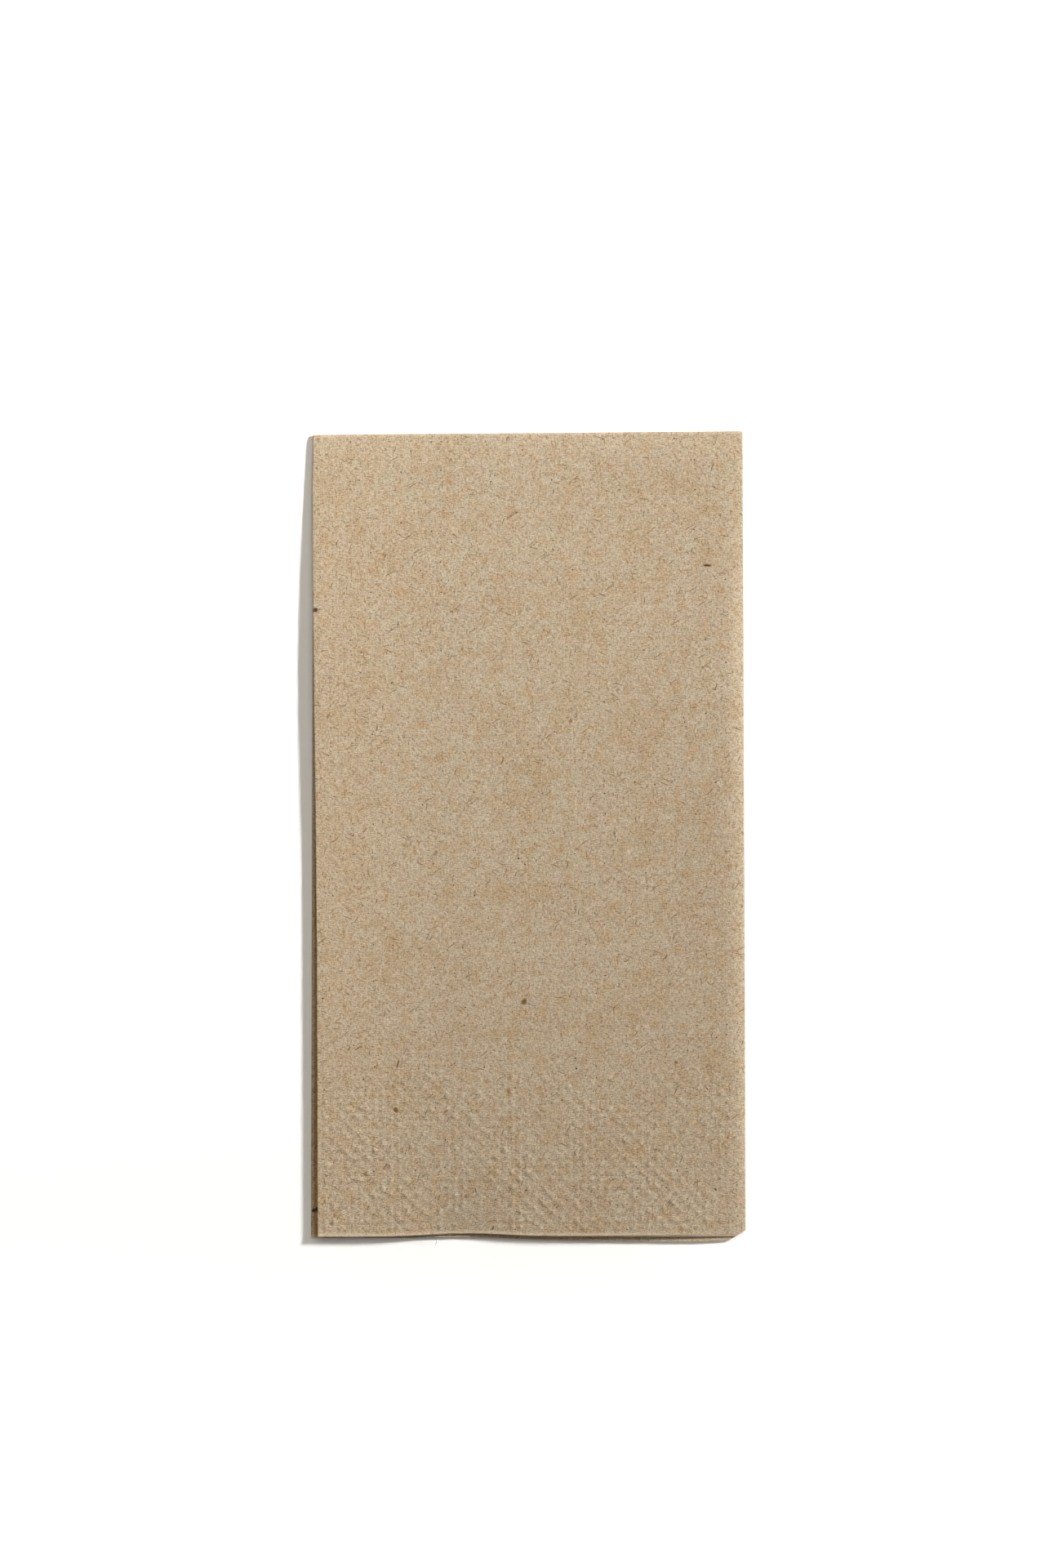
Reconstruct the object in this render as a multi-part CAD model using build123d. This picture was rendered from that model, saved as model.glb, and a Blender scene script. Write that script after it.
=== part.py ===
from build123d import *
import math
import os

# Sheet before folding, in millimetres
SHEET_WIDTH = 406.4  # across the two long folds
SHEET_LENGTH = 381.0  # along the long folds, halved by the cross fold
PAPER_THICK = 0.16  # both creped plies together

# Folds
LAYER_GAP = 0.11  # air between two layers
PANEL_EXCESS = 0.5  # how much wider the outer panel is than an even quarter, which hides the cut edges
LEAF_SKEW = 0.42  # degrees between the two leaves, from a cross fold that is slightly out of square
SKEW_RADIUS = 150.0  # of the slight turn that each leaf takes beside the cross fold

# Rise of the upper leaf out of the pressed cross fold
CREST_RUN = 62.0  # distance from the cross fold to the crest of the leaf
CREST_RISE = 1.15
END_SAG = 0.25  # how much the leaf falls from its crest to its free end

# Nipped corner of the open end at the long fold
NIP_ACROSS = 4.2
NIP_ALONG = 2.6

# Cutting aid only
TRIM_MARGIN = 2.0

# Layers and bends of one leaf
half_paper = PAPER_THICK / 2
layer_pitch = PAPER_THICK + LAYER_GAP
inner_bend = layer_pitch / 2
outer_bend = 3 * layer_pitch / 2
# A panel of the sheet runs on through half of the bend at each of its sides.
panel_flat = SHEET_WIDTH / 4 - math.pi / 2 * (inner_bend + outer_bend) + PANEL_EXCESS
# The fold at the left is the middle of the sheet, so a cut edge lies half a sheet from it along the paper:
# half of that fold, one flat panel, one bend at the right and the last layer.
wrapped_flat = SHEET_WIDTH / 2 - math.pi / 2 * inner_bend - panel_flat - math.pi * outer_bend
tucked_flat = SHEET_WIDTH / 2 - math.pi / 2 * inner_bend - panel_flat - math.pi * inner_bend
left_x = -panel_flat / 2
right_x = panel_flat / 2
wrapped_x = right_x - wrapped_flat
tucked_x = right_x - tucked_flat

# Heights of the layers over the axis of the cross fold
facing_z = layer_pitch / 2
tucked_z = facing_z + layer_pitch
second_z = tucked_z + layer_pitch
outer_z = second_z + layer_pitch
nest_z = (tucked_z + second_z) / 2  # the axis of both bends at the right
middle_fold_z = (second_z + outer_z) / 2

# Course of the leaves from the cross fold to the open end
leaf_length = SHEET_LENGTH / 2
half_skew = LEAF_SKEW / 2
skew_run = SKEW_RADIUS * math.radians(half_skew)
rise_radius = (CREST_RUN**2 + CREST_RISE**2) / (4 * CREST_RISE)
rise_angle = math.degrees(math.asin(CREST_RUN / (2 * rise_radius)))
sag_angle = math.degrees(math.atan(END_SAG / (leaf_length - CREST_RUN)))
lower_run = leaf_length - skew_run
upper_run = lower_run - rise_radius * math.radians(2 * rise_angle + sag_angle)


def paper_face(shift):
    """One face of the paper through a leaf's four layers, at shift to the left of the paper's middle."""
    return [
        Line((wrapped_x, facing_z + shift), (right_x, facing_z + shift)),
        CenterArc((right_x, nest_z), outer_bend - shift, -90, 180),
        Line((right_x, outer_z - shift), (left_x, outer_z - shift)),
        CenterArc((left_x, middle_fold_z), inner_bend - shift, 90, 180),
        Line((left_x, second_z + shift), (right_x, second_z + shift)),
        CenterArc((right_x, nest_z), inner_bend + shift, 90, -180),
        Line((right_x, tucked_z - shift), (tucked_x, tucked_z - shift)),
    ]


def leaf_section():
    """Section of the upper leaf at the cross fold: the sheet's width in four layers with three bends."""
    cut_edges = [
        Line((wrapped_x, facing_z - half_paper), (wrapped_x, facing_z + half_paper)),
        Line((tucked_x, tucked_z - half_paper), (tucked_x, tucked_z + half_paper)),
    ]
    return Plane.XZ * make_face(paper_face(half_paper) + paper_face(-half_paper) + cut_edges)


def straight_run(section, length, up):
    """The section drawn out straight to the cut end. up is 1 for the upper leaf and -1 for the lower one.

    A layer further out spends a quarter turn more of its length in the cross fold, so the end is slanted.
    """
    slanted_end = Plane(origin=(0, -length, 0), x_dir=(1, 0, 0), z_dir=(0, -1, up * math.pi / 2))
    run = extrude(section, amount=length + TRIM_MARGIN, dir=(0, -1, 0))
    return split(run, bisect_by=slanted_end, keep=Keep.BOTTOM)


def leaf(section, turns, length, up):
    """A leaf that takes the given turns, each an axis and an angle, and then runs straight to its end."""
    course = Location()
    pieces = []
    for axis, angle in turns:
        pieces.append(course * revolve(section, axis=axis, revolution_arc=angle))
        to_axis = Location(axis.position)
        course = course * to_axis * Location((0, 0, 0), axis.direction, angle) * to_axis.inverse()
    pieces.append(course * straight_run(section, length, up))
    return pieces


def nip_corner(folded):
    """Takes off the corner where the open end meets the long fold, through all layers."""
    box = folded.bounding_box()
    cut = Plane(
        origin=(box.max.X, box.min.Y + NIP_ALONG, 0),
        x_dir=(0, 0, 1),
        z_dir=(NIP_ALONG, -NIP_ACROSS, 0),
    )
    return split(folded, bisect_by=cut, keep=Keep.BOTTOM)


def napkin():
    """The folded sheet, lying on its lower leaf with the middle of its box over the origin."""
    upper = leaf_section()
    lower = upper.rotate(Axis.X, 180)
    upper_turns = [
        (Axis((SKEW_RADIUS, 0, 0), (0, 0, 1)), half_skew),
        (Axis((0, 0, rise_radius), (-1, 0, 0)), rise_angle),
        (Axis((0, 0, -rise_radius), (1, 0, 0)), rise_angle + sag_angle),
    ]
    lower_turns = [(Axis((-SKEW_RADIUS, 0, 0), (0, 0, -1)), half_skew)]
    cross_fold = revolve(upper, axis=Axis((0, 0, 0), (-1, 0, 0)), revolution_arc=180)
    leaves = leaf(upper, upper_turns, upper_run, 1) + leaf(lower, lower_turns, lower_run, -1)
    folded = nip_corner(cross_fold.fuse(*leaves).clean())
    box = folded.bounding_box()
    return Pos(-box.center().X, -box.center().Y, -box.min.Z) * folded


os.makedirs("parts", exist_ok=True)
export_step(napkin(), "parts/napkin.step")
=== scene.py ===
import math

import bmesh
import bpy
import numpy as np
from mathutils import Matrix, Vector


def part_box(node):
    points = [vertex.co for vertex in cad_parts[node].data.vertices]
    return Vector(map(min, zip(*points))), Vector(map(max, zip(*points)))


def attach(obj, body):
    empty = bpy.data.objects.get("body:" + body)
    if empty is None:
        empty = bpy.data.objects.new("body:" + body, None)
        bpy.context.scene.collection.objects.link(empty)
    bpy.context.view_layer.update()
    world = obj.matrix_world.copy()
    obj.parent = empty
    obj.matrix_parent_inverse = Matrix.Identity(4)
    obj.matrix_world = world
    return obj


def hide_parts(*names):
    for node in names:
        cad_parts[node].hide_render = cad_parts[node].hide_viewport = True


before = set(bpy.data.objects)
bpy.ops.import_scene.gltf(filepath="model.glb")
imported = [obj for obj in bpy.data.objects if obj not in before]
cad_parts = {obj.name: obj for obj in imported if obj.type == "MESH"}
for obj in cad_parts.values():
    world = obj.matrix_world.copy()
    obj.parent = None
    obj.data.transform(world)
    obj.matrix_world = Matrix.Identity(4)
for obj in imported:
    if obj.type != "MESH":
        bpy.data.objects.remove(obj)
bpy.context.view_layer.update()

bl_info = {
    "name": "Folded paper napkin",
    "version": (1, 0, 0),
    "blender": (4, 5, 0),
    "location": "3D View > Sidebar > Napkin",
    "description": "Folds a sheet of creped brown tissue into a napkin and lights it on a white table",
    "category": "Object",
}

MM = 0.001
QUARTER_TURN = math.pi / 2

# How far each effect on the lie of the paper reaches from the cross fold
PRESS_RUN = 48 * MM  # layers pressed thinner
SLANT_RUN = 50 * MM  # slant of the cross fold
SETTLE_RUN = 60 * MM  # to where the lower leaf lies loose
BULGE_RUN = 12 * MM  # to where the left side stands out most
DRAW_START = 18 * MM  # the left side comes in from here
DRAW_END = 125 * MM  # and stays in from here
SAG_RUN = 40 * MM  # from the crest to where the upper leaf has sagged

# How far it reaches from the open end
HOLLOW_RUN = 28 * MM  # hollow
CORNER_RUN = 40 * MM  # pressed corner
STRETCH_RUN = 60 * MM  # layers stretched or held back
LIP_RUN = 1.6 * MM  # lifted cut edge

# How far it reaches from the napkin's sides
CORNER_WIDTH = 14 * MM  # pressed corner, from the right
DROOP_WIDTH = 2.2 * MM  # droop at the long fold, from the right
TUCK_WIDTH = 10.5 * MM  # lower leaf falling back, from the right
CURL_WIDTH = 4 * MM  # lifted side, from the left

# Shares by which the effects change each other
LIP_MOST = 1.3  # of the lip, where the slanted end stands out past the leaf's mean length
LIP_AT_RIGHT = 0.25  # of the lip, left over at the right
LIP_LOST = 0.7  # of the lip, lost in the hollow
LOWER_DIP = 0.75  # of the hollow's pull, followed by the lower leaf
HOLLOW_PRESS = 0.35  # of the layers' height, lost in the hollow
CORNER_THIN = 0.4  # of the layers' height, lost in the corner
LOWER_HELD = 0.8  # of the lower leaf's looseness, lost under the hollow and the corner

# Waves in the paper
SWELL_HEIGHT = 0.06 * MM  # upper leaf
WAVE_HEIGHT = 0.025 * MM  # each layer of the upper leaf by itself
LOWER_SWELL = 0.05 * MM  # lower leaf
LOWER_LIFT = 3  # how many times its swell the lower leaf is lifted off the table
LOWER_WAVE = 0.02 * MM  # each layer of the lower leaf by itself

# Dots
DOT_MARGIN = 0.4 * MM  # plain paper beside the long folds
BAND_FADE = 0.8 * MM  # over which the band starts
END_MARGIN = 0.5 * MM  # plain paper at the open end
END_FADE = MM  # over which the dots begin there
INNER_STRENGTH = 0.8  # dots of the inner ply, as a share of the outer ply's
DOT_LEAST = 0.15  # share of its height that the faintest dot has
DOT_RANGE = 1.7  # from the faintest dot to the strongest one
DOT_SLOPE = 1.5  # how steeply the sides of a dot fall off
DOTS_AT_END = 1.15  # share of their height that the dots keep at the open end
DOTS_LOST = 0.45  # how much less they keep at the far side of the band
DOTS_BELOW = 0.25  # share that the dots on the lower leaf keep

# Steps of the mesh
BEND_PARTS = (12, 10, 8)  # parts of the wide bend, the left fold and the tight bend
PLAIN_STEP = 2 * MM  # across the outer panel, away from the dots
HIDDEN_STEP = 5 * MM  # across the layers out of sight
LEAF_STEP = 2.5 * MM  # along a leaf
BAND_MARGIN = MM  # between the last plain row and the first one with dots
DOT_PARTS = ((6, -1), (10, 1))  # parts of a dot's pitch, with the sign of the lower and the upper leaf
INNER_PLAIN_STEP = 3 * MM  # the same steps on the inner side of the paper
INNER_HIDDEN_STEP = 4 * MM
INNER_LEAF_STEP = 5 * MM
FOLD_PLACES = (0.1, 0.2, 0.3, 0.45, 0.6, 0.8, 1.0, 1.25, 1.5, 1.8, 2.2, 3.0, 4.5)  # mm from the cross fold
END_PLACES = (3, 1.5, 0)  # mm from the open end
SHARP_ANGLE = math.radians(40)  # from which an edge is shaded sharp

# Paper
FELT_FINE = 0.72  # share of the fine spots in the felt
FIBRE_BEND = 1.1  # mm that a fibre is shifted by at most, from spot to spot
FIBRE_CELL = 2.5  # how many times as long and as wide as a fibre its cell is
FIBRE_RIM = 0.2  # of the cell, where a fibre ends
FIBRE_CORE = 0.14  # of the cell, where it covers fully
MARK_RIM = 1.25  # of a single mark's half width, where it ends
MARK_CORE = 0.65  # of that, where it covers fully
EDGE_BIT_SIZE = (1.3, 1.0)  # mm

# Loose fibre: place across and along from the napkin's middle and height over the paper, in millimetres
FIBRE_ROUTE = [
    (-22.34, -93.3, 0.03),
    (-22.64, -94.2, 0.08),
    (-22.54, -94.7, 0.08),
    (-22.04, -95.4, -0.1),
    (-21.64, -96.0, -0.4),
    (-21.64, -96.6, -0.8),
    (-21.94, -97.0, -1.1),
]
FIBRE_RADIUS = 0.04 * MM  # wider than a real one, so that it shows

# Lamps: name, size, place and aim in metres, and the angle in degrees that the light spreads over
LAMPS = [
    ("key", (0.2, 0.2), (1.095, 0.558, 0.86), (-0.371, 0.034, 0), 42),
    ("fill", (0.7, 0.7), (0.0, 0.352, 0.774), (0, 0, 0), 180),
    ("apron", (0.5, 0.04), (-0.01, -0.502, 0.342), (-0.01, -0.267, 0), 30),
    ("side", (0.5, 0.04), (0.425, -0.289, 0.313), (0.252, -0.319, 0), 43),
]
# Long lamps all round that light the table further away: name, size and place. Their light spreads over
# FAR_ANGLE degrees, and ends short of the napkin.
FAR_LAMPS = [
    ("far_right", (0.05, 4), 1, 0),
    ("far_left", (0.05, 4), -1, 0),
    ("far_back", (4, 0.05), 0, 1),
    ("far_front", (4, 0.05), 0, -1),
]
FAR_HEIGHT = 0.8  # metres over the table
FAR_ANGLE = 88

# Table, and camera that looks straight down
TABLE_REACH = 3  # metres from the middle of the table to its sides
TABLE_DROP = 0.03 * MM  # keeps the table's face just clear of the paper's
LENS = 100  # focal length in millimetres
SENSOR = 36  # width of the sensor in millimetres
PICTURE_HEIGHT = 371.3 * MM  # what the picture takes in from top to bottom at the height of the upper leaf
LEAF_HEIGHT = 3 * MM  # of the upper leaf over the table
CAMERA_X = -1.26 * MM
CAMERA_Y = 12.3 * MM


def length(name, description, mm):
    """A length property with its default given in millimetres."""
    return bpy.props.FloatProperty(
        name=name, description=description, default=mm * MM, unit="LENGTH", precision=5
    )


def colour(name, description, code):
    """A colour property that holds an sRGB hex value."""
    return bpy.props.StringProperty(name=name, description=description, default=code)


class NapkinSheetSettings(bpy.types.PropertyGroup):
    """Cut and folds of the sheet"""

    width: length("Width", "Flat sheet, across the two long folds", 406.4)
    length: length("Length", "Flat sheet, along the long folds", 381.0)
    thickness: length("Thickness", "Both plies together", 0.16)
    gap: length("Layer gap", "Air between two layers", 0.11)
    panel_excess: length("Panel excess", "How much wider the outer panel is than an even quarter", 0.5)
    skew: bpy.props.FloatProperty(
        name="Skew",
        description="Angle between the two leaves",
        default=math.radians(0.42),
        subtype="ANGLE",
    )
    nip_across: length("Nip across", "Nipped corner at the long fold, across the napkin", 3.6)
    nip_along: length("Nip along", "Nipped corner at the long fold, along the napkin", 2.35)


class NapkinLieSettings(bpy.types.PropertyGroup):
    """How the folded paper has sprung open and settled"""

    crest_run: length("Crest run", "From the cross fold to the crest of the upper leaf", 62.0)
    crest_rise: length("Crest rise", "Height that the upper leaf gains up to its crest", 1.15)
    end_sag: length("End sag", "Fall from the crest to the open end", 0.38)
    end_reach: length("End reach", "How far the top layer is stretched at the open end", 0.44)
    upper_turn: length("Upper turn", "Extra reach of the upper leaf at the long fold's corner", 0.23)
    upper_step: length("Upper step", "How far each upper layer shows past the one over it", 0.12)
    lower_reach: length("Lower reach", "How far the lowest layer is stretched at the open end", 1.46)
    lower_step: length("Lower step", "How far each lower layer shows past the one under it", 0.04)
    lower_turn: length("Lower turn", "Extra reach of the lower leaf at the long fold's corner", 0.45)
    lower_tuck: length("Lower tuck", "How far the lower leaf falls back again beside the long fold", 0.6)
    top_back: length("Top back", "How far the top layer stays behind the next one beside the long fold", 0.35)
    dip_depth: length("Dip depth", "Hollow in the upper leaf's open end", 0.95)
    hollow_place: length("Hollow place", "Middle of the hollow, across the napkin", -18.5)
    hollow_width: length("Hollow width", "From the middle of the hollow to its flank", 9.5)
    dip_pull: length("Dip pull", "How far the hollow draws the open end back", 0.66)
    dip_place: length("Dip place", "Where the hollow draws the end back most, across the napkin", -13.85)
    dip_width: length("Dip width", "From the middle of that stretch to its flank", 12.0)
    end_curl: length("End curl", "Lift of the cut edge at the open end", 0.33)
    side_curl: length("Side curl", "Lift of the upper leaf's left side at the open end", 0.1)
    fold_droop: bpy.props.FloatProperty(
        name="Fold droop",
        description="Share of its rise that the upper leaf loses at the long fold on the right",
        default=0.85,
        subtype="FACTOR",
    )
    corner_press: bpy.props.FloatProperty(
        name="Corner press",
        description="Share of its rise that the upper leaf loses where the open end meets the long fold",
        default=0.8,
        subtype="FACTOR",
    )
    fold_press: bpy.props.FloatProperty(
        name="Fold press",
        description="How much thinner the layers are pressed at the cross fold",
        default=0.38,
        subtype="FACTOR",
    )
    side_bulge: length("Side bulge", "How far the upper leaf's left side stands out by the cross fold", 0.19)
    draw_in: length("Draw-in", "How far the upper leaf's left side comes in from there to the open end", 0.64)
    lower_draw: length("Lower draw-in", "How far the lower leaf's left side comes in at the open end", 0.2)
    fold_reach: length("Fold reach", "How far the cross fold stands out at the right", 0.24)
    fold_slant: length("Fold slant", "How far the cross fold falls back towards the left", 0.85)


class NapkinDotSettings(bpy.types.PropertyGroup):
    """Embossed dots that hold the two plies together"""

    band: length("Band", "Depth of the dotted band at the open end", 39.0)
    pitch_across: length("Pitch across", "From dot to dot across the napkin", 3.84)
    pitch_along: length("Pitch along", "From dot to dot along the napkin", 3.7)
    inner_ply: bpy.props.FloatProperty(
        name="Inner ply",
        description="Pitch of the inner ply's dots as a share of the outer one's",
        default=0.89,
    )
    diameter: length("Diameter", "Foot of one dot", 1.7)
    height: length("Height", "Rise of one dot", 0.165)


class NapkinPaperSettings(bpy.types.PropertyGroup):
    """Colours of the unbleached paper"""

    pulp: colour("Pulp", "Most of the paper", "#B2A58F")
    ochre: colour("Ochre", "Darker, warmer clouds in the pulp", "#A18765")
    grey: colour("Grey", "Paler clouds in the pulp", "#AFA08E")
    straw: colour("Straw", "Yellower clouds in the pulp", "#AE9576")
    ash: colour("Ash", "Greyer clouds in the pulp", "#B0A18B")
    rust: colour("Rust", "Reddish fibres", "#86683F")
    furrow: colour("Furrow", "Bottom of the crepe", "#7B6546")
    # This colour also paints the highlight along the open end's cut edges.
    ridge_and_highlight: colour("Ridge", "Top of the crepe and pale fibres", "#CEBCA3")
    # Painted highlight: paler paper along the long folds, the cross fold and the lower leaf's tucked cut
    # edge, where they catch more light.
    painted_highlight: colour("Highlight", "Paper drawn thin over the folds", "#CBBAA0")
    # Redder paper towards the left fold, and painted light that brightens the left part of the upper leaf.
    blush_and_light: colour("Blush", "Redder paper towards the left fold", "#D3B795")
    stain: colour("Stain", "Soft brown spots", "#7E5A30")
    # Painted shade: the lower leaf's strip beside the upper leaf, browner and darker where the upper leaf
    # shades it.
    under_shade: colour("Umber", "Lower leaf where the upper one has covered it", "#AB8243")
    peat: colour("Peat", "Brown hairs", "#6B5030")
    bark: colour("Bark", "Specks and splinters", "#4A3724")
    fibre: colour("Fibre", "Dark fibres", "#77644A")


class NapkinStageSettings(bpy.types.PropertyGroup):
    """Table and light"""

    table: colour("Table", "White table top", "#FEFEFE")
    key: bpy.props.FloatProperty(
        name="Key", description="Lamp at the right", default=2.37, unit="POWER"
    )
    fill: bpy.props.FloatProperty(
        name="Fill", description="Soft light behind the napkin", default=2.99, unit="POWER"
    )
    apron: bpy.props.FloatProperty(
        name="Apron", description="Lamp on the near part of the table", default=0.89, unit="POWER"
    )
    side: bpy.props.FloatProperty(
        name="Side", description="Lamp on the near right part of the table", default=0.72, unit="POWER"
    )
    far: bpy.props.FloatProperty(
        name="Far", description="Each of the lamps on the far parts of the table", default=110.0, unit="POWER"
    )
    warm: colour("Warm", "Colour of the fill and of the room", "#FFF8EC")
    room: bpy.props.FloatProperty(name="Room", description="Light from all around", default=0.12)


def linear(code):
    """Linear colour of an sRGB hex value."""
    parts = [int(code[i : i + 2], 16) / 255 for i in (1, 3, 5)]
    return tuple(c / 12.92 if c <= 0.04045 else ((c + 0.055) / 1.055) ** 2.4 for c in parts) + (1.0,)


def add(tree, kind, inputs, output=0, **settings):
    """Adds a node, sets or links its inputs and gives back one of its outputs."""
    node = tree.nodes.new(kind)
    for name, value in settings.items():
        setattr(node, name, value)
    for name, value in inputs.items():
        if isinstance(value, bpy.types.NodeSocket):
            tree.links.new(value, node.inputs[name])
        else:
            node.inputs[name].default_value = value
    return node if output is None else node.outputs[output]


def ease_in(value, start, end):
    """Goes smoothly from 0 at start to 1 at end."""
    share = np.clip((value - start) / (end - start), 0, 1)
    return share * share * (3 - 2 * share)


def fade(distance, reach):
    """Goes evenly from 1 at no distance to 0 at reach."""
    return np.clip(1 - distance / reach, 0, 1)


def bell(distance, width):
    """Falls off smoothly from 1 on both sides."""
    return np.exp(-((distance / width) ** 2))


def swells(across, along):
    """Shallow waves some centimetres wide."""
    short = np.sin(across / (17 * MM) + 0.6) * np.sin(along / (23 * MM))
    return short + 0.6 * np.sin(along / (31 * MM) - across / (29 * MM))


def layer_waves(across, along, rank):
    """Waves that differ from layer to layer, so that the layers part a little."""
    return np.sin(across / (13 * MM) + 9 * rank) * np.sin(along / (19 * MM) + 5 * rank)


class FoldedSheet:
    """Where each point of the flat sheet lies once it is folded and put down.

    A point is at s across the long folds and t along them, and at shift from the middle of the paper, with a
    shift below zero on the side that shows. All lengths are in metres.
    """

    def __init__(self, sheet, lie):
        self.lie = lie
        self.width = sheet.width
        self.length = sheet.length
        self.half = sheet.thickness / 2
        self.pitch = sheet.thickness + sheet.gap
        self.tight = self.pitch / 2
        self.wide = 3 * self.pitch / 2
        self.slope = math.tan(sheet.skew / 2)
        self.panel = sheet.width / 4 - QUARTER_TURN * (self.tight + self.wide) + sheet.panel_excess
        rest = sheet.width / 2 - QUARTER_TURN * self.tight - self.panel
        wide_turn = math.pi * self.wide
        tight_turn = math.pi * self.tight
        bends = [wide_turn, self.panel, tight_turn, self.panel, tight_turn]
        runs = [rest - wide_turn, *bends, rest - tight_turn]
        self.stops = np.concatenate([[0.0], np.cumsum(runs)])
        self.top = 3.5 * self.pitch
        low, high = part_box("napkin")
        reach = (self.length / 2) * self.slope
        self.origin = np.array(
            [
                low[0] + self.panel / 2 + self.tight + self.half + reach,
                high[1] - self.top - self.half,
                low[2] + self.top + self.half,
            ]
        )

    def section(self, s, shift):
        """Place across the napkin and height over the cross fold's axis, for one leaf.

        The four layers lie half a pitch to three and a half pitches over the axis.
        """
        at = self.stops
        right = self.panel / 2
        left = -right
        nest = 2 * self.pitch
        outer = (s - at[1]) / self.wide - QUARTER_TURN
        middle = QUARTER_TURN + (s - at[3]) / self.tight
        inner = QUARTER_TURN - (s - at[5]) / self.tight
        x = [
            right - at[1] + s,
            right + (self.wide - shift) * np.cos(outer),
            right - (s - at[2]),
            left + (self.tight - shift) * np.cos(middle),
            left + (s - at[4]),
            right + (self.tight + shift) * np.cos(inner),
            right - (s - at[6]),
        ]
        z = [
            self.pitch / 2 + shift + 0 * s,
            nest + (self.wide - shift) * np.sin(outer),
            self.top - shift + 0 * s,
            3 * self.pitch + (self.tight - shift) * np.sin(middle),
            2.5 * self.pitch + shift + 0 * s,
            nest + (self.tight + shift) * np.sin(inner),
            1.5 * self.pitch - shift + 0 * s,
        ]
        run = np.searchsorted(at[1:-1], s, side="right")
        return np.choose(run, x), np.choose(run, z)

    def lift(self, run):
        """Height that the upper leaf has gained at a distance from the cross fold."""
        lie = self.lie
        rise = lie.crest_rise * ease_in(run, 0, lie.crest_run)
        return rise - lie.end_sag * ease_in(run, lie.crest_run, lie.crest_run + SAG_RUN)

    def lay(self, s, t, shift):
        """Points of the folded sheet in the row frame."""
        lie = self.lie
        x, z = self.section(s, shift)
        height = self.section(s, 0 * s)[1]
        along = t - x * self.slope
        upper = along > 0
        side = np.where(upper, 1.0, -1.0)
        run = np.maximum(np.abs(along) - QUARTER_TURN * height, 0)
        turn = np.minimum(np.abs(along) / height, QUARTER_TURN)
        px = x + side * run * self.slope
        py = z * np.cos(turn) - run
        pressed = 1 - lie.fold_press * fade(run, PRESS_RUN) ** 2
        stack = self.top + self.half
        pz = (stack + side * z * np.sin(turn)) * pressed - stack

        # Where the point is: distances from the end and the sides, and the layer's number from the outside
        gone = run / (self.length / 2)
        to_end = self.length / 2 - QUARTER_TURN * height - run
        to_right = self.panel / 2 + self.wide + self.half - x
        to_left = self.panel / 2 + self.tight + self.half + x
        across = to_right / (to_right + to_left)
        rank = (self.top - height) / self.pitch

        # How strongly each effect is felt there
        free = np.clip(self.lift(run) / lie.crest_rise, 0, 1)
        near_end = fade(to_end, HOLLOW_RUN) ** 2
        dip = bell(px - lie.dip_place, lie.dip_width) * near_end
        hollow = bell(px - lie.hollow_place, lie.hollow_width) * near_end
        corner = bell(to_right, CORNER_WIDTH) * fade(to_end, CORNER_RUN) ** 2
        droop = lie.fold_droop * (1 - np.tanh(to_right / DROOP_WIDTH))
        curl = (2 * gone - 1) * fade(to_left, CURL_WIDTH) ** 2
        lip = np.clip(1 - to_end / LIP_RUN, 0, LIP_MOST) ** 2
        lip *= LIP_AT_RIGHT + (1 - LIP_AT_RIGHT) * across**2
        lip *= 1 - LIP_LOST * hollow
        swell = swells(px, run)
        wave = layer_waves(px, run, rank)

        # Sideways and lengthways
        inward = lie.draw_in * ease_in(run, DRAW_START, DRAW_END)
        inward -= lie.side_bulge * np.minimum(run / BULGE_RUN, 1)
        px += across * np.where(upper, inward, lie.lower_draw * gone)
        step = QUARTER_TURN * self.pitch
        pull_up = rank * (step - lie.upper_step) - lie.end_reach - lie.upper_turn * (1 - across)
        pull_up += lie.top_back * (1 - across) ** 3 * np.clip(1 - rank, 0, 1)
        pull_low = rank * (step - lie.lower_step) - lie.lower_reach - lie.lower_turn * (1 - 2 * across)
        pull_low += lie.lower_tuck * fade(to_right, TUCK_WIDTH)
        py += fade(to_end, STRETCH_RUN) ** 2 * np.where(upper, pull_up, pull_low)
        py += lie.dip_pull * dip * np.where(upper, 1.0, LOWER_DIP)
        py += (lie.fold_reach - lie.fold_slant * across) * fade(run, SLANT_RUN) ** 2

        # Up and down
        sprung = self.lift(run) * (1 - droop) * (1 - lie.corner_press * corner)
        sprung -= z * (HOLLOW_PRESS * hollow + CORNER_THIN * corner)
        sprung += free * (
            SWELL_HEIGHT * swell
            - lie.dip_depth * hollow
            + lie.side_curl * curl
            + lie.end_curl * lip
            + WAVE_HEIGHT * wave
        )
        settled = ease_in(run, 0, SETTLE_RUN) * (LOWER_SWELL * (LOWER_LIFT + swell) + LOWER_WAVE * wave)
        settled *= 1 - LOWER_HELD * np.maximum(hollow, corner)
        pz += np.where(upper, sprung, settled)
        # The table presses flat whatever would reach below it.
        pz = np.maximum(pz, -self.origin[2])
        return np.stack([px, py, pz], axis=-1) + self.origin

    def top_place(self, x_mm, y_mm):
        """Place on the flat sheet, in millimetres, of a point seen on the top layer from above."""
        s = self.stops[2] + self.panel / 2 - x_mm * MM
        t = self.origin[1] - y_mm * MM
        # Each round takes off what the place is still out by.
        for _ in range(5):
            x, y, _ = self.lay(s, t, -self.half)
            s, t = s + x - x_mm * MM, t + y - y_mm * MM
        return s / MM, t / MM


def dot_chance(column, row, offset, ply):
    """A number from 0 to 1 for each dot, the same in every run, from the last digits of a large sine."""
    digits = np.sin(12.9898 * column + 78.233 * row + 37.7 * offset + 5.1 * ply) * 43758.5453
    return digits - np.floor(digits)


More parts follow.
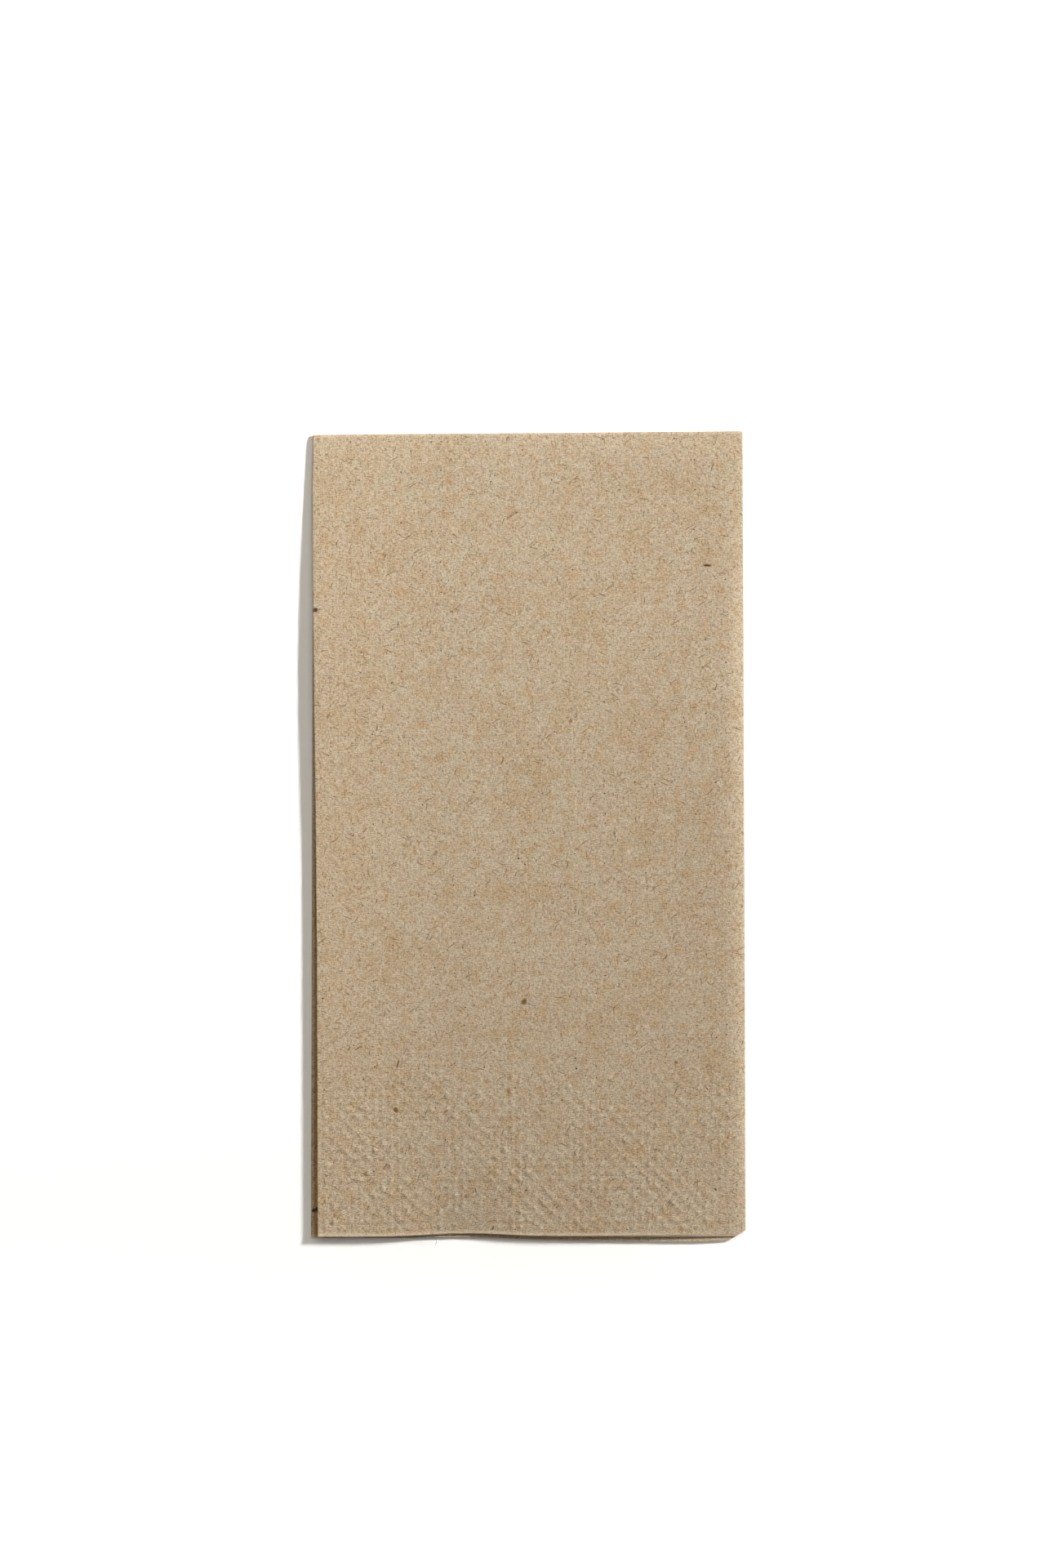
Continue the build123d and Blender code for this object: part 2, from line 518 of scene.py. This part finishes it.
def dot_height(folds, dots, s, t):
    """Rise of the embossed dots over the plain outer panel, where some took better than others."""
    in_panel = (s > folds.stops[2] + DOT_MARGIN) & (s < folds.stops[3] - DOT_MARGIN)
    to_end = folds.length / 2 - np.abs(t)
    rise = 0 * s
    for ply, strength in ((1.0, 1.0), (dots.inner_ply, INNER_STRENGTH)):
        a = (s - folds.stops[3]) / (dots.pitch_across * ply)
        b = to_end / (dots.pitch_along * ply)
        for offset in (0.0, 0.5):
            column = np.round(a - offset)
            row = np.round(b - offset)
            da = (a - offset - column) * dots.pitch_across
            db = (b - offset - row) * dots.pitch_along
            cap = np.clip(1 - (da**2 + db**2) / (dots.diameter / 2) ** 2, 0, 1)
            took = DOT_LEAST + DOT_RANGE * dot_chance(column, row, offset, ply)
            rise += strength * took * cap**DOT_SLOPE
    inside = np.clip((dots.band - to_end) / BAND_FADE, 0, 1) * np.clip((to_end - END_MARGIN) / END_FADE, 0, 1)
    kept = np.where(t > 0, DOTS_AT_END - DOTS_LOST * to_end / dots.band, DOTS_BELOW)
    return dots.height * rise * inside * in_panel * kept


def spread(start, end, step):
    """Even places from start to end, no further apart than step."""
    return np.linspace(start, end, max(1, math.ceil(abs(end - start) / step)) + 1)


def across_places(folds, hidden, shown):
    """Places across the sheet: close together in the bends, at the places shown on the outer panel."""
    at = folds.stops
    wide, left, tight = BEND_PARTS
    parts = [
        spread(at[0], at[1], hidden),
        np.linspace(at[1], at[2], wide + 1),
        shown,
        np.linspace(at[3], at[4], left + 1),
        spread(at[4], at[5], hidden),
        np.linspace(at[5], at[6], tight + 1),
        spread(at[6], at[7], hidden),
    ]
    return np.unique(np.round(np.concatenate(parts), 9))


def along_places(plain, step, fine):
    """Places along one leaf: close together in the cross fold, then at the step, then the fine ones."""
    fold = np.array(FOLD_PLACES) * MM
    return np.unique(np.round(np.concatenate([fold, spread(fold[-1], plain, step), fine]), 9))


def zip_rows(low, low_at, high, high_at):
    """Triangles between two rows of points that may have different places."""
    faces = []
    i = j = 0
    while i < len(low) - 1 or j < len(high) - 1:
        step_low = j == len(high) - 1 or (i < len(low) - 1 and low_at[i + 1] <= high_at[j + 1])
        if step_low:
            faces.append((low[i], low[i + 1], high[j]))
            i += 1
        else:
            faces.append((low[i], high[j + 1], high[j]))
            j += 1
    return faces


def paper_side(rows, start):
    """Point numbers of each row, and the faces between the rows."""
    numbers = []
    for _, places in rows:
        numbers.append(range(start, start + len(places)))
        start += len(places)
    faces = []
    for (_, low_at), (_, high_at), low, high in zip(rows, rows[1:], numbers, numbers[1:]):
        if len(low) == len(high):
            faces += [(low[k], low[k + 1], high[k + 1], high[k]) for k in range(len(low) - 1)]
        else:
            faces += zip_rows(low, low_at, high, high_at)
    return numbers, faces, start


def sheet_rows(folds, dots):
    """Rows of places on the outer and the inner side, from the lower open end to the upper one."""
    at = folds.stops
    end = folds.length / 2
    band = end - dots.band
    outer = []
    sides = []
    plain_columns = across_places(folds, HIDDEN_STEP, spread(at[2], at[3], PLAIN_STEP))
    for parts, leaf in DOT_PARTS:
        fine_at = at[3] - np.arange(0, folds.panel, dots.pitch_across / parts)
        columns = across_places(folds, HIDDEN_STEP, np.append(fine_at, at[2]))
        fine_along = end - np.arange(0, dots.band, dots.pitch_along / parts)
        places = along_places(band - BAND_MARGIN, LEAF_STEP, fine_along)
        outer += [(leaf * t, columns if t > band - BAND_MARGIN / 2 else plain_columns) for t in places]
        sides += [leaf * t for t in along_places(end, INNER_LEAF_STEP, end - np.array(END_PLACES) * MM)]
    outer.append((0.0, plain_columns))
    inner_columns = across_places(folds, INNER_HIDDEN_STEP, spread(at[2], at[3], INNER_PLAIN_STEP))
    inner = [(t, inner_columns) for t in sides + [0.0]]
    return sorted(outer, key=lambda row: row[0]), sorted(inner, key=lambda row: row[0])


def fold_sheet(sheet, lie, dots):
    """Mesh of the whole folded sheet, with both sides of the paper and its cut edges."""
    folds = FoldedSheet(sheet, lie)
    outer, inner = sheet_rows(folds, dots)
    outer_numbers, faces, count = paper_side(outer, 0)
    inner_numbers, inner_faces, _ = paper_side(inner, count)
    faces += [face[::-1] for face in inner_faces]
    for a, b in ((0, 0), (-1, -1)):
        faces += zip_rows(outer_numbers[a], outer[a][1], inner_numbers[b], inner[b][1])
    for k in (0, -1):
        low = [row[k] for row in outer_numbers]
        high = [row[k] for row in inner_numbers]
        faces += zip_rows(low, [row[0] for row in outer], high, [row[0] for row in inner])

    flat = []
    points = []
    for rows, shift in ((outer, -folds.half), (inner, folds.half)):
        s = np.concatenate([places for _, places in rows])
        t = np.concatenate([np.full(len(places), along) for along, places in rows])
        rise = dot_height(folds, dots, s, t) if shift < 0 else 0 * s
        points.append(folds.lay(s, t, shift - rise))
        flat.append(np.stack([s / MM, t / MM, 0 * s], axis=-1))

    mesh = bpy.data.meshes.new("napkin_sheet")
    mesh.from_pydata(np.concatenate(points).tolist(), [], faces)
    place = mesh.attributes.new("flat_mm", "FLOAT_VECTOR", "POINT")
    place.data.foreach_set("vector", np.concatenate(flat).astype(np.float32).ravel())
    nip_corner(mesh, sheet)
    mesh.shade_smooth()
    mesh.set_sharp_from_angle(angle=SHARP_ANGLE)
    return mesh


def nip_corner(mesh, sheet):
    """Takes off the corner where the open end meets the long fold, and closes the cut layers."""
    low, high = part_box("napkin")
    cut = bmesh.new()
    cut.from_mesh(mesh)
    result = bmesh.ops.bisect_plane(
        cut,
        geom=cut.verts[:] + cut.edges[:] + cut.faces[:],
        plane_co=Vector((high[0], low[1] + sheet.nip_along, 0)),
        plane_no=Vector((sheet.nip_along, -sheet.nip_across, 0)),
        clear_outer=True,
    )
    open_edges = [item for item in result["geom_cut"] if isinstance(item, bmesh.types.BMEdge)]
    bmesh.ops.triangle_fill(cut, edges=open_edges, use_beauty=True)
    bmesh.ops.recalc_face_normals(cut, faces=cut.faces)
    cut.to_mesh(mesh)
    cut.free()


# Single marks in the pulp: place across and along from the napkin's middle, length and width in millimetres,
# turn in degrees, paper colour and how strongly it covers.
MARKS = [
    (42.5, 64.1, 2.0, 0.6, -4, "bark", 1.0),
    (42.9, 68.0, 0.45, 0.4, 0, "bark", 0.75),
    (-3.7, 76.0, 3.1, 0.3, 28, "bark", 0.6),
    (-2.7, 76.6, 0.8, 0.42, 28, "bark", 0.7),
    (6.1, 81.7, 1.4, 0.45, 87, "bark", 0.6),
    (17.6, 57.1, 1.9, 0.4, -23, "bark", 0.65),
    (-10.9, 60.2, 2.4, 1.4, 30, "stain", 0.2),
    (-18.0, 53.1, 0.8, 0.5, -14, "stain", 0.8),
    (-50.3, 53.5, 1.2, 1.1, 37, "bark", 1.0),
    (10.1, 27.1, 1.1, 0.9, 36, "stain", 0.75),
    (-2.2, -5.3, 0.55, 0.5, 0, "bark", 0.95),
    (19.6, -25.4, 1.0, 0.25, 80, "ridge_and_highlight", 0.8),
    (-0.9, -39.2, 1.6, 1.15, 55, "peat", 1.0),
    (-30.8, -54.0, 2.1, 0.45, 75, "peat", 1.0),
    (-31.3, -64.9, 1.25, 1.05, 123, "peat", 1.0),
    (35.1, -53.6, 0.9, 0.8, 0, "stain", 0.9),
    (11.5, -55.1, 0.55, 0.42, 0, "bark", 1.0),
    (8.1, -62.6, 0.45, 0.42, 0, "bark", 0.9),
    (-4.6, -60.5, 1.3, 0.65, 116, "stain", 0.75),
    (-8.3, -92.9, 1.1, 0.5, 65, "peat", 0.9),
    (17.7, -85.4, 2.3, 1.5, 100, "stain", 0.25),
    (19.4, -87.0, 1.5, 0.3, -64, "bark", 0.6),
    (44.5, -83.8, 0.85, 0.45, -44, "bark", 0.9),
    (23.8, -3.8, 2.0, 0.8, 20, "ridge_and_highlight", 0.35),
    (-17.2, 72.2, 4.5, 1.0, -56, "ridge_and_highlight", 0.25),
]

# The lower leaf's two cut edges show at the left, and one bit of bark lies over both: place across from the
# edge and along the sheet, in millimetres.
EDGE_BIT = ((0.35, -183.9), (-0.6, -184.3))

# Clouds in the pulp: width in millimetres, shift of the pattern, paper colour and how strongly they cover
CLOUDS = [
    (14.0, 91.0, "ochre", 0.62),
    (9.0, 23.0, "grey", 0.85),
    (3.6, 0.0, "straw", 0.95),
    (4.2, 57.0, "ash", 1.0),
]

# Fibres: turn in degrees, length and width in millimetres, share of the places that have one, how strongly
# they cover, shift of the pattern and paper colour. They are drawn wider than real ones, so that they show.
FIBRES = [
    (20, 1.8, 0.2, 0.02, 0.4, 3.0, "ridge_and_highlight"),
    (115, 1.5, 0.2, 0.02, 0.4, 11.0, "ridge_and_highlight"),
    (8, 1.0, 0.22, 0.06, 0.8, 23.0, "fibre"),
    (62, 0.9, 0.22, 0.06, 0.8, 37.0, "fibre"),
    (118, 0.8, 0.22, 0.06, 0.8, 45.0, "fibre"),
    (140, 1.5, 0.2, 0.06, 0.75, 51.0, "rust"),
    (95, 2.6, 0.18, 0.05, 0.8, 67.0, "rust"),
    (35, 3.2, 0.18, 0.028, 0.85, 83.0, "peat"),
    (160, 2.4, 0.18, 0.028, 0.85, 97.0, "peat"),
    (75, 2.0, 0.2, 0.012, 0.8, 113.0, "bark"),
]

# Specks: distance apart and radius in millimetres, share of the places that have one, shift of the pattern
# and paper colour
SPECKS = [
    (1.1, 0.19, 0.16, 7.0, "fibre"),
    (2.4, 0.24, 0.15, 19.0, "bark"),
]


def noise(tree, place, grain_mm, detail, roughness, output=0):
    """Fractal noise whose largest spots are about as wide as grain_mm."""
    return add(
        tree,
        "ShaderNodeTexNoise",
        {"Vector": place, "Scale": 1 / grain_mm, "Detail": detail, "Roughness": roughness},
        output,
        noise_dimensions="2D",
    )


def ramp(tree, value, start, end, least=0.0, most=1.0):
    """Goes evenly from least at start to most at end, and stays there beyond."""
    return add(tree, "ShaderNodeMapRange", {0: value, 1: start, 2: end, 3: least, 4: most})


def maths(tree, operation, *values):
    """One step of arithmetic."""
    return add(tree, "ShaderNodeMath", dict(enumerate(values)), operation=operation)


def cover_with(tree, tone, cover, code):
    """The tone with a colour over it, as far as the cover says."""
    return add(tree, "ShaderNodeMix", {0: cover, 6: tone, 7: linear(code)}, 2, data_type="RGBA")


def clouds(tree, flat, paper):
    """Pulp that settled unevenly: warmer, yellower and greyer clouds up to 14 mm wide."""
    tone = linear(paper.pulp)
    for cloud_mm, shift, name, most in CLOUDS:
        place = add(tree, "ShaderNodeVectorMath", {0: flat, 1: (shift, shift, 0)}, operation="ADD")
        cover = ramp(tree, noise(tree, place, cloud_mm, detail=3.0, roughness=0.65), 0.45, 0.68, most=most)
        tone = cover_with(tree, tone, cover, getattr(paper, name))
    return tone


def streaks(tree, flat, across_mm, along_mm):
    """Noise drawn out to spots of the given size across and along the sheet."""
    place = add(tree, "ShaderNodeMapping", {"Vector": flat, "Scale": (1 / across_mm, 1 / along_mm, 1)})
    return noise(tree, place, 1.0, detail=0.0, roughness=0.5)


def felt(tree, flat):
    """Felted fibres, too fine to tell apart, in spots from 0.2 to 1.6 mm."""
    coarse = noise(tree, flat, 1.6, detail=2.0, roughness=0.7)
    fine = noise(tree, flat, 0.42, detail=1.0, roughness=0.85)
    return add(tree, "ShaderNodeMix", {0: FELT_FINE, 2: coarse, 3: fine})


def bent_place(tree, flat):
    """The place on the sheet, shifted a little from spot to spot, which bends a straight fibre."""
    bend = noise(tree, flat, 2.5, detail=1.0, roughness=0.5, output="Color")
    inputs = {0: bend, 1: (FIBRE_BEND, FIBRE_BEND, 0.0), 2: flat}
    return add(tree, "ShaderNodeVectorMath", inputs, operation="MULTIPLY_ADD")


def cells(tree, place):
    """Cells one unit wide with a point in each: the distance from it and three chances of the cell."""
    inputs = {"Vector": place, "Scale": 1.0}
    distance = add(tree, "ShaderNodeTexVoronoi", inputs, "Distance", voronoi_dimensions="2D")
    chances = add(tree, "ShaderNodeSeparateColor", {0: distance.node.outputs["Color"]}, None).outputs
    return distance, chances


def fibres(tree, bent, turn, long_mm, wide_mm, share, strength, shift):
    """Single fibres in one direction, slightly bent. Gives how much they cover."""
    place = add(
        tree,
        "ShaderNodeMapping",
        {
            "Vector": bent,
            "Location": (shift, 2 * shift, 0),
            "Rotation": (0, 0, math.radians(turn)),
            "Scale": (FIBRE_CELL * long_mm, FIBRE_CELL * wide_mm, 1),
        },
        vector_type="TEXTURE",
    )
    distance, chances = cells(tree, place)
    core = ramp(tree, distance, FIBRE_RIM, FIBRE_CORE, most=strength)
    return maths(tree, "MULTIPLY", core, maths(tree, "LESS_THAN", chances[0], share))


def specks(tree, flat, apart_mm, radius_mm, share, shift):
    """Bits of bark of different sizes. Gives how much they cover."""
    place = add(
        tree,
        "ShaderNodeMapping",
        {"Vector": flat, "Location": (shift, -shift, 0), "Scale": (apart_mm, apart_mm, 1)},
        vector_type="TEXTURE",
    )
    distance, chances = cells(tree, place)
    size = ramp(tree, chances[1], 0.0, 1.0, least=0.4)
    rim = maths(tree, "MULTIPLY", size, radius_mm / apart_mm)
    spot = ramp(tree, distance, rim, maths(tree, "MULTIPLY", rim, 0.5))
    return maths(tree, "MULTIPLY", spot, maths(tree, "LESS_THAN", chances[0], share))


def single_mark(tree, flat, place, size, turn, strength):
    """One splinter or spot at its own place on the sheet. Gives how much it covers."""
    local = add(
        tree,
        "ShaderNodeMapping",
        {
            "Vector": flat,
            "Location": (*place, 0),
            "Rotation": (0, 0, math.radians(turn)),
            "Scale": (size[0] / 2, size[1] / 2, 1),
        },
        vector_type="TEXTURE",
    )
    distance = add(tree, "ShaderNodeVectorMath", {0: local}, "Value", operation="LENGTH")
    return ramp(tree, distance, MARK_RIM, MARK_CORE, most=strength)


def near(tree, place, line, far, close, most):
    """Cover that fades in towards a line on the sheet, from far to close, in millimetres."""
    away = maths(tree, "ABSOLUTE", maths(tree, "SUBTRACT", place, line))
    return ramp(tree, away, far, close, most=most)


def cut_end_highlight(tree, across, along, folds):
    """Painted highlight over the last millimetre before the cut ends, where the lifted edge catches the
    light; less of it towards the right.
    """
    left = folds.stops[3] / MM
    most = ramp(tree, across, left - 90, left - 70, 0.2, 0.5)
    return near(tree, maths(tree, "ABSOLUTE", along), folds.length / 2 / MM, 0.9, 0.2, most)


def under_leaf_shade(tree, across, along, folds):
    """Painted shade on the lower leaf's left side: browner and darker further under the upper leaf, which
    shades it.
    """
    width = folds.width / MM
    # Both cut edges of the sheet lie at this side: the tucked one and the one that faces the upper leaf.
    under = ramp(tree, along, -20.0, -60.0)
    tucked = ramp(tree, across, width - 0.3, width - 0.9)
    beyond = maths(tree, "GREATER_THAN", across, folds.stops[6] / MM)
    facing = ramp(tree, across, 3.0, 2.0)
    return maths(tree, "MULTIPLY", under, maths(tree, "MULTIPLY_ADD", tucked, beyond, facing))


def creped_tissue(paper, folds):
    """Unbleached tissue in two creped plies: matt, mottled, with furrows, fibres and specks, with painted
    shade and highlights.
    """
    material = bpy.data.materials.new("unbleached_creped_tissue")
    material.use_nodes = True
    tree = material.node_tree
    tree.nodes.clear()
    flat = add(tree, "ShaderNodeAttribute", {}, "Vector", attribute_name="flat_mm")
    tone = clouds(tree, flat, paper)
    # Furrows from the creping blade run across the sheet, and fine lines from the wire that the pulp was
    # drained on run along it. Both are drawn coarser than real ones, so that they show.
    furrows = streaks(tree, flat, 0.85, 0.22)
    lines = streaks(tree, flat, 0.2, 1.0)
    pulp = felt(tree, flat)
    bent = bent_place(tree, flat)
    across, along = add(tree, "ShaderNodeSeparateXYZ", {0: flat}, None).outputs[:2]
    right_fold = (folds.stops[1] + folds.stops[2]) / 2 / MM
    left_fold = (folds.stops[3] + folds.stops[4]) / 2 / MM
    width = folds.width / MM
    covers = [
        # Painted shade on the lower leaf's strip beside the upper leaf.
        (under_leaf_shade(tree, across, along, folds), "under_shade"),
        # Painted highlights along the right fold, the left fold's rim, the cross fold and the lower leaf's
        # cut edge; painted light with a redder tint over the left part.
        (near(tree, across, right_fold, 5.0, 0.8, 0.33), "painted_highlight"),
        (near(tree, across, left_fold, 30.0, 0.5, 0.2), "blush_and_light"),
        (near(tree, across, left_fold, 1.0, 0.2, 0.3), "painted_highlight"),
        (near(tree, along, 0.0, 9.0, 0.5, 0.4), "painted_highlight"),
        (near(tree, across, width, 0.5, 0.25, 0.9), "painted_highlight"),
        (ramp(tree, pulp, 0.5, 0.13), "furrow"),
        (ramp(tree, pulp, 0.5, 0.88), "ridge_and_highlight"),
        (ramp(tree, lines, 0.45, 0.2, most=0.45), "furrow"),
        (ramp(tree, furrows, 0.46, 0.2, most=0.55), "furrow"),
    ]
    covers += [(fibres(tree, bent, *sizes), name) for *sizes, name in FIBRES]
    covers += [(specks(tree, flat, *sizes), name) for *sizes, name in SPECKS]
    for x, y, long_mm, wide_mm, turn, name, strength in MARKS:
        mark = single_mark(tree, flat, folds.top_place(x, y), (long_mm, wide_mm), turn, strength)
        covers.append((mark, name))
    for edge, (off, place) in zip((0, width), EDGE_BIT):
        covers.append((single_mark(tree, flat, (edge + off, place), EDGE_BIT_SIZE, 0, 1.0), "bark"))
    # Painted highlight along the open end's cut edges.
    covers.append((cut_end_highlight(tree, across, along, folds), "ridge_and_highlight"))
    for cover, name in covers:
        tone = cover_with(tree, tone, cover, getattr(paper, name))
    relief = maths(tree, "MULTIPLY_ADD", pulp, 0.6, furrows)
    normal = add(tree, "ShaderNodeBump", {"Height": relief, "Strength": 0.5, "Distance": 0.12 * MM})
    inputs = {"Base Color": tone, "Roughness": 0.92, "Specular IOR Level": 0.25, "Normal": normal}
    surface = add(tree, "ShaderNodeBsdfPrincipled", inputs)
    add(tree, "ShaderNodeOutputMaterial", {"Surface": surface}, None)
    return material


def bare_fibre(paper):
    """A single wood fibre that has come loose: dull and dark."""
    material = bpy.data.materials.new("loose_wood_fibre")
    material.use_nodes = True
    tree = material.node_tree
    shader = tree.nodes["Principled BSDF"]
    place = add(tree, "ShaderNodeTexCoord", {}, "Object")
    streak = add(tree, "ShaderNodeTexNoise", {"Vector": place, "Scale": 0.5 / MM})
    tone = cover_with(tree, linear(paper.bark), streak, paper.fibre)
    tree.links.new(tone, shader.inputs["Base Color"])
    shader.inputs["Roughness"].default_value = 0.8
    return material


def white_table(stage):
    """Matt white laminate, the pale ground under the napkin."""
    material = bpy.data.materials.new("white_laminate")
    material.use_nodes = True
    shader = material.node_tree.nodes["Principled BSDF"]
    shader.inputs["Base Color"].default_value = linear(stage.table)
    shader.inputs["Roughness"].default_value = 0.7
    shader.inputs["Specular IOR Level"].default_value = 0.2
    return material


def put(name, data):
    """Links a new object into the scene."""
    piece = bpy.data.objects.new(name, data)
    bpy.context.scene.collection.objects.link(piece)
    return piece


def soft_box(name, size, power, place, aim, angle):
    """A lamp with an even face, whose light fades out towards the edge of the angle that it spreads over."""
    lamp = bpy.data.lights.new(name, "AREA")
    lamp.shape = "RECTANGLE"
    lamp.size, lamp.size_y = size
    lamp.energy = power
    lamp.spread = math.radians(angle)
    piece = put(name, lamp)
    piece.location = place
    piece.visible_camera = False
    piece.rotation_euler = (Vector(aim) - Vector(place)).to_track_quat("-Z", "Y").to_euler()
    return piece


class OBJECT_OT_napkin_sheet(bpy.types.Operator):
    """Fold the sheet and give it its paper"""

    bl_idname = "object.napkin_sheet"
    bl_label = "Folded sheet"

    def execute(self, context):
        scene = context.scene
        sheet = scene.napkin_sheet
        piece = put("napkin_sheet", fold_sheet(sheet, scene.napkin_lie, scene.napkin_dots))
        folds = FoldedSheet(sheet, scene.napkin_lie)
        piece.data.materials.append(creped_tissue(scene.napkin_paper, folds))
        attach(piece, "root")
        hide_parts("napkin")
        return {"FINISHED"}


class OBJECT_OT_napkin_stray_fibre(bpy.types.Operator):
    """Add the loose fibre that hangs out of the open end"""

    bl_idname = "object.napkin_stray_fibre"
    bl_label = "Stray fibre"

    def execute(self, context):
        scene = context.scene
        folds = FoldedSheet(scene.napkin_sheet, scene.napkin_lie)
        s, t = np.array([folds.top_place(x, y) for x, y, _ in FIBRE_ROUTE]).T * MM
        t = np.minimum(t, folds.length / 2)
        lip = folds.lay(s, t, -folds.half - dot_height(folds, scene.napkin_dots, s, t))
        curve = bpy.data.curves.new("stray_fibre", "CURVE")
        curve.dimensions = "3D"
        curve.bevel_depth = FIBRE_RADIUS
        curve.bevel_resolution = 2
        curve.use_fill_caps = True
        spline = curve.splines.new("NURBS")
        spline.points.add(len(FIBRE_ROUTE) - 1)
        for point, (x, y, up), under in zip(spline.points, FIBRE_ROUTE, lip):
            # It stays clear of the table.
            point.co = (x * MM, y * MM, max(under[2] + up * MM, 1.5 * curve.bevel_depth), 1)
        spline.order_u = 3
        spline.use_endpoint_u = True
        piece = put("stray_fibre", curve)
        curve.materials.append(bare_fibre(scene.napkin_paper))
        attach(piece, "root")
        return {"FINISHED"}


class OBJECT_OT_napkin_stage(bpy.types.Operator):
    """Set up the white table, the lamps and the camera over the napkin"""

    bl_idname = "object.napkin_stage"
    bl_label = "Table, lamps and camera"

    def execute(self, context):
        scene = context.scene
        stage = scene.napkin_stage
        mesh = bpy.data.meshes.new("table")
        corners = [(x * TABLE_REACH, y * TABLE_REACH, 0) for x, y in ((-1, -1), (1, -1), (1, 1), (-1, 1))]
        mesh.from_pydata(corners, [], [(0, 1, 2, 3)])
        table = put("table", mesh)
        table.location.z = -TABLE_DROP
        mesh.materials.append(white_table(stage))

        for name, size, place, aim, angle in LAMPS:
            lamp = soft_box(name, size, getattr(stage, name), place, aim, angle)
            if name == "fill":
                lamp.data.color = linear(stage.warm)[:3]
        for name, size, x, y in FAR_LAMPS:
            soft_box(name, size, stage.far, (x, y, FAR_HEIGHT), (x, y, 0), FAR_ANGLE)
        world = bpy.data.worlds.new("room")
        world.use_nodes = True
        sky = world.node_tree.nodes["Background"]
        sky.inputs["Color"].default_value = linear(stage.warm)
        sky.inputs["Strength"].default_value = stage.room
        scene.world = world
        scene.view_settings.view_transform = "Standard"

        lens = bpy.data.cameras.new("camera")
        lens.lens = LENS
        lens.sensor_width = SENSOR
        camera = put("camera", lens)
        camera.location = (CAMERA_X, CAMERA_Y, LEAF_HEIGHT + PICTURE_HEIGHT * LENS / SENSOR)
        scene.camera = camera
        return {"FINISHED"}


class VIEW3D_PT_napkin(bpy.types.Panel):
    """Sizes, colours and building steps of the napkin"""

    bl_idname = "VIEW3D_PT_napkin"
    bl_label = "Paper napkin"
    bl_space_type = "VIEW_3D"
    bl_region_type = "UI"
    bl_category = "Napkin"

    def draw(self, context):
        for step in OPERATORS:
            self.layout.operator(step.bl_idname)
        for name, kind in SETTINGS.items():
            box = self.layout.box()
            box.label(text=kind.__doc__)
            for key in kind.__annotations__:
                box.prop(getattr(context.scene, name), key)


SETTINGS = {
    "napkin_sheet": NapkinSheetSettings,
    "napkin_lie": NapkinLieSettings,
    "napkin_dots": NapkinDotSettings,
    "napkin_paper": NapkinPaperSettings,
    "napkin_stage": NapkinStageSettings,
}
OPERATORS = (OBJECT_OT_napkin_sheet, OBJECT_OT_napkin_stray_fibre, OBJECT_OT_napkin_stage)


def register():
    for kind in (*SETTINGS.values(), *OPERATORS, VIEW3D_PT_napkin):
        bpy.utils.register_class(kind)
    for name, kind in SETTINGS.items():
        setattr(bpy.types.Scene, name, bpy.props.PointerProperty(type=kind))


def unregister():
    for name in SETTINGS:
        delattr(bpy.types.Scene, name)
    for kind in (VIEW3D_PT_napkin, *reversed(OPERATORS), *reversed(SETTINGS.values())):
        bpy.utils.unregister_class(kind)


def main():
    register()
    bpy.ops.object.napkin_sheet()
    bpy.ops.object.napkin_stray_fibre()
    bpy.ops.object.napkin_stage()


if __name__ == "__main__":
    main()
